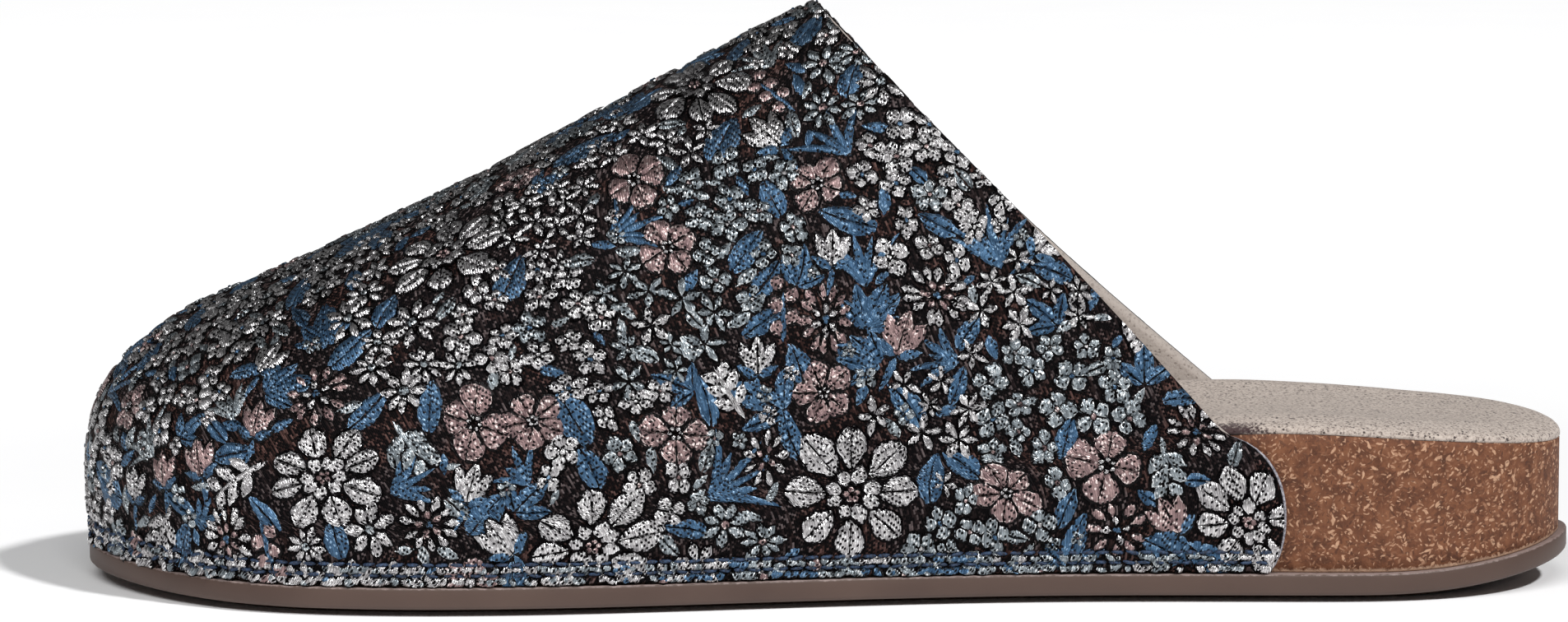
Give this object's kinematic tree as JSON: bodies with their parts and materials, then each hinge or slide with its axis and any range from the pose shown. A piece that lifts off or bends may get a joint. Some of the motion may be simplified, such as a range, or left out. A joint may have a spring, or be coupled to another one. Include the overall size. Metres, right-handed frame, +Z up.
{
  "type": "closed-toe mule",
  "caption": "Backless closed-toe mule with a floral jacquard upper, suede-covered footbed, cork midsole and thin rubber outsole, standing empty on its sole.",
  "frame": {"origin": "centre of the shoe's box in plan, on the floor that the outsole stands on", "axes": "+Z up, toe towards -X, heel towards +X, outer (lateral) side of the foot towards -Y"},
  "size_m": [0.2548, 0.0966, 0.0986],
  "materials": {
    "outsole_rubber": "smooth matt taupe-brown rubber",
    "cork": "pressed cork with light flakes, sealed matt",
    "insole_suede": "beige-grey suede with fine pores",
    "upper_jacquard": "satin-float floral jacquard on a dark brown ground, suede lined"
  },
  "bodies": {
    "root": {"outsole": "outsole_rubber", "cork_midsole": "cork", "insole": "insole_suede", "upper": "upper_jacquard"}
  },
  "joints": []
}
